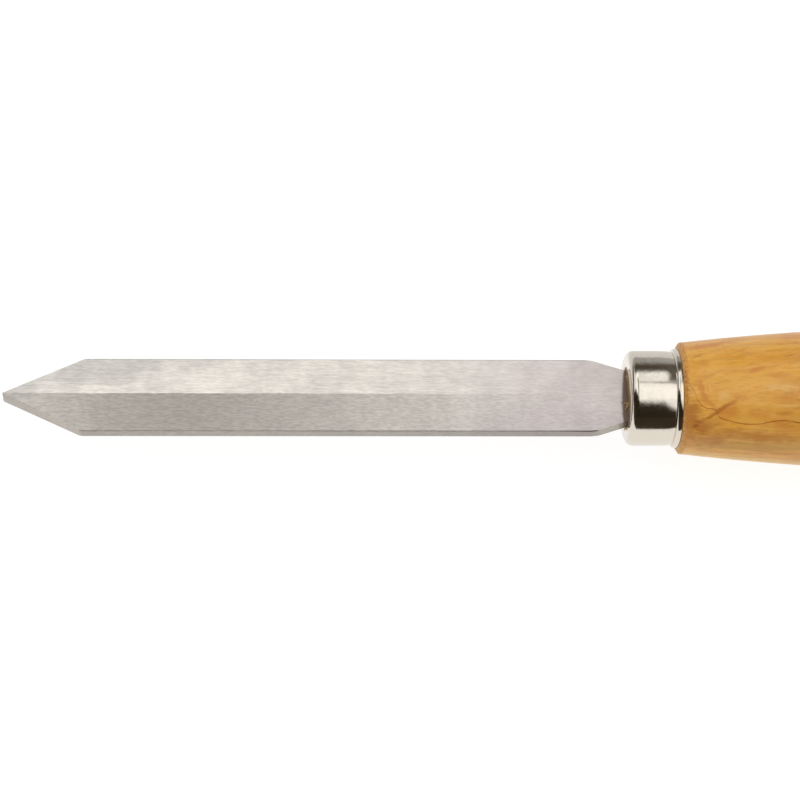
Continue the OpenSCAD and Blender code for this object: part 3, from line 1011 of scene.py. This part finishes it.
def level_panel(name, half_width, front, back, height, material):
    """Level rectangle of the stage, from its front to its back along Y."""
    right, left = half_width, -half_width
    corners = [(left, front, height), (right, front, height), (right, back, height), (left, back, height)]
    return flat_panel(name, corners, material)


def only_mirrored(thing):
    """Hides a thing of the stage from the camera and from soft light: only polished metal shows it."""
    thing.visible_camera = thing.visible_diffuse = thing.visible_shadow = False


def studio_dome(brightness, radius=1.0):
    """Dome over the tool that only polished metal sees, with its brightness stored at its points."""
    rise, side = np.meshgrid(np.linspace(-14.0, 194.0, 209), np.linspace(-89.0, 89.0, 179), indexing="ij")
    points = over_axis(rise, side, radius)
    glow = studio_glow(rise, points[..., 0] / radius, points[..., 2] / radius) * brightness
    mesh = open_sheet("dome", points)
    mesh.attributes.new("Glow", "FLOAT", "POINT").data.foreach_set("value", glow.astype(np.float32).ravel())
    material = plain_surface("Soft boxes", NO_TONE, 1.0)
    g = Graph(material.node_tree)
    stored = g.add("ShaderNodeAttribute", attribute_name="Glow").outputs["Fac"]
    tint = g.mix(g.remap(stored, 0.0, 0.25), LAMP_DIM, LAMP_WHITE)
    g.surface({"Emission Strength": stored, "Emission Color": tint})
    material.cycles.emission_sampling = "NONE"
    only_mirrored(stage_piece("dome", mesh, material))


def mirrored_cloths(level):
    """Black cloth in front of the tool and grey cloth behind it, which only polished metal shows."""
    near, far = over_axis(-10.0, 0.0, 0.088), over_axis(18.0, 0.0, 0.98)
    front = [near + (-0.5, 0, 0), near + (0.22, 0, 0), far + (0.30, 0, 0), far + (-0.8, 0, 0)]
    black = plain_surface("Black cloth", (0.049, 0.033, 0.020))
    only_mirrored(flat_panel("front_cloth", front, black))
    grey = plain_surface("Grey cloth", NO_TONE, 0.83)
    panel = level_panel(
        "back_cloth", half_width=0.8, front=0.035, back=0.95, height=level + 0.2 * MM, material=grey)
    only_mirrored(panel)


def pale_backdrop(radius=11.0):
    """Even pale shell round the stage, which only the camera sees, where the floor ends."""
    rise, side = np.meshgrid(np.linspace(-8.0, 188.0, 50), np.linspace(-90.0, 90.0, 46), indexing="ij")
    material = plain_surface("Pale backdrop", NO_TONE, 1.0)
    material.cycles.emission_sampling = "NONE"
    shell = stage_piece("backdrop", open_sheet("backdrop", over_axis(rise, side, radius)), material)
    shell.visible_diffuse = shell.visible_glossy = shell.visible_transmission = shell.visible_shadow = False


def overcast_room(scene, brightness):
    """Gives the scene a world that lights the matt surfaces, while polished metal mirrors the dome.

    It is brightest overhead, fades to a fifth at the horizon, and fades further to the front and back.
    """
    world = bpy.data.worlds.new("Room")
    scene.world = world
    world.use_nodes = True
    g = Graph(world.node_tree)
    way = g.split(g.place("Generated"))
    overhead = g.remap(way["Z"], 0.0, 0.9, 0.2 * brightness, brightness)
    fore = g.remap(way["Y"], -0.8, 0.1, 0.2, 1.0)
    aft = g.remap(way["Y"], 0.0, 0.9, 1.0, 0.25)
    background = world.node_tree.nodes["Background"].inputs
    g.feed(background["Color"], ROOM_WHITE)
    g.feed(background["Strength"], g.times(overhead, g.times(fore, aft)))
    world.cycles_visibility.glossy = False


def photo_camera(scene):
    """Camera of the photograph: its place, the point that it looks at and the way that is up, in the
    tool's frame, and its focal length, worked out in pixels of a square picture."""
    focal_pixels, picture_pixels = 2702.0, 800.0
    spot = Vector((-104.85, -288.0, 615.71)) * MM
    aim = Vector((-63.71, -0.494, -0.231)) * MM
    upright = Vector((-0.0017, 0.9062, 0.4229))
    lens = bpy.data.cameras.new("Photo camera")
    lens.sensor_width = 36.0
    lens.lens = focal_pixels / picture_pixels * lens.sensor_width
    lens.clip_start, lens.clip_end = 0.02, 60.0
    camera = bpy.data.objects.new("photo_camera", lens)
    back = (spot - aim).normalized()
    right = upright.cross(back).normalized()
    turned = Matrix((right, back.cross(right), back)).transposed().to_4x4()
    camera.matrix_world = Matrix.Translation(spot) @ turned
    scene.collection.objects.link(camera)
    scene.camera = camera


# Operators


class PARTING_TOOL_OT_blade(Operator):
    """Build the ground steel blade with its tang"""

    bl_idname = "parting_tool.blade"
    bl_label = "Blade"

    def execute(self, context):
        settings = context.scene.parting_tool.blade
        mesh = closed_surface("steel_blade", blade_points(settings))
        piece = place_piece("steel_blade", mesh, ground_steel(settings), 1.5)
        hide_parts("blade")
        return {"FINISHED"}


class PARTING_TOOL_OT_ferrule(Operator):
    """Build the plated ferrule"""

    bl_idname = "parting_tool.ferrule"
    bl_label = "Ferrule"

    def execute(self, context):
        settings = context.scene.parting_tool.ferrule
        profile = ferrule_profile(settings)
        mesh = closed_surface("plated_ferrule", turned_points(profile, 240), profile[:, 0], ring=True)
        piece = place_piece("plated_ferrule", mesh, bright_plating(settings), 50.0)
        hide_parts("ferrule")
        return {"FINISHED"}


class PARTING_TOOL_OT_handle(Operator):
    """Build the turned handle"""

    bl_idname = "parting_tool.handle"
    bl_label = "Handle"

    def execute(self, context):
        settings = context.scene.parting_tool.handle
        points = handle_points(settings)
        mesh = closed_surface("turned_handle", points, points[..., 0].mean(1))
        piece = place_piece("turned_handle", mesh, lacquered_wood(settings), 40.0)
        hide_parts("handle")
        return {"FINISHED"}


class PARTING_TOOL_OT_splinters(Operator):
    """Build the loose fibres round the tang"""

    bl_idname = "parting_tool.splinters"
    bl_label = "Splinters"

    def execute(self, context):
        settings = context.scene.parting_tool.handle
        mesh = closed_surface("mouth_splinters", splinter_points(settings.splinters))
        place_piece("mouth_splinters", mesh, raw_fibre(), 70.0)
        return {"FINISHED"}


class PARTING_TOOL_OT_stage(Operator):
    """Lay the floor, set the soft light and aim the camera"""

    bl_idname = "parting_tool.stage"
    bl_label = "Stage"

    def execute(self, context):
        scene = context.scene
        settings = scene.parting_tool.stage
        reach, level = 12.0, CAD_LOW.z
        pale = plain_surface("Pale floor", settings.floor, settings.floor_glow)
        level_panel("floor", reach, -reach, reach, level, pale)
        mirrored_cloths(level)
        studio_dome(settings.dome_light)
        pale_backdrop()
        overcast_room(scene, settings.room_light)
        scene.view_settings.view_transform = "Standard"
        photo_camera(scene)
        return {"FINISHED"}


class VIEW3D_PT_parting_tool(Panel):
    """Lists the tool's settings and builds its pieces"""

    bl_label = "Parting Tool"
    bl_space_type = "VIEW_3D"
    bl_region_type = "UI"
    bl_category = "Parting Tool"

    def draw(self, context):
        settings = context.scene.parting_tool
        groups = (
            (settings.blade, (PARTING_TOOL_OT_blade,)),
            (settings.ferrule, (PARTING_TOOL_OT_ferrule,)),
            (settings.handle, (PARTING_TOOL_OT_handle, PARTING_TOOL_OT_splinters)),
            (settings.stage, (PARTING_TOOL_OT_stage,)),
        )
        for group, operators in groups:
            box = self.layout.box()
            for key in group.bl_rna.properties.keys():
                if key not in {"rna_type", "name"}:
                    box.prop(group, key)
            for operator in operators:
                box.operator(operator.bl_idname)


CLASSES = (
    BladeSettings, FerruleSettings, HandleSettings, StageSettings, ToolSettings,
    PARTING_TOOL_OT_blade, PARTING_TOOL_OT_ferrule, PARTING_TOOL_OT_handle, PARTING_TOOL_OT_splinters,
    PARTING_TOOL_OT_stage, VIEW3D_PT_parting_tool,
)


def register():
    for cls in CLASSES:
        bpy.utils.register_class(cls)
    bpy.types.Scene.parting_tool = PointerProperty(type=ToolSettings)


def unregister():
    del bpy.types.Scene.parting_tool
    for cls in reversed(CLASSES):
        bpy.utils.unregister_class(cls)


def main():
    """Builds the tool and its stage in order."""
    register()
    bpy.ops.parting_tool.blade()
    bpy.ops.parting_tool.ferrule()
    bpy.ops.parting_tool.handle()
    bpy.ops.parting_tool.splinters()
    bpy.ops.parting_tool.stage()


if __name__ == "__main__":
    main()
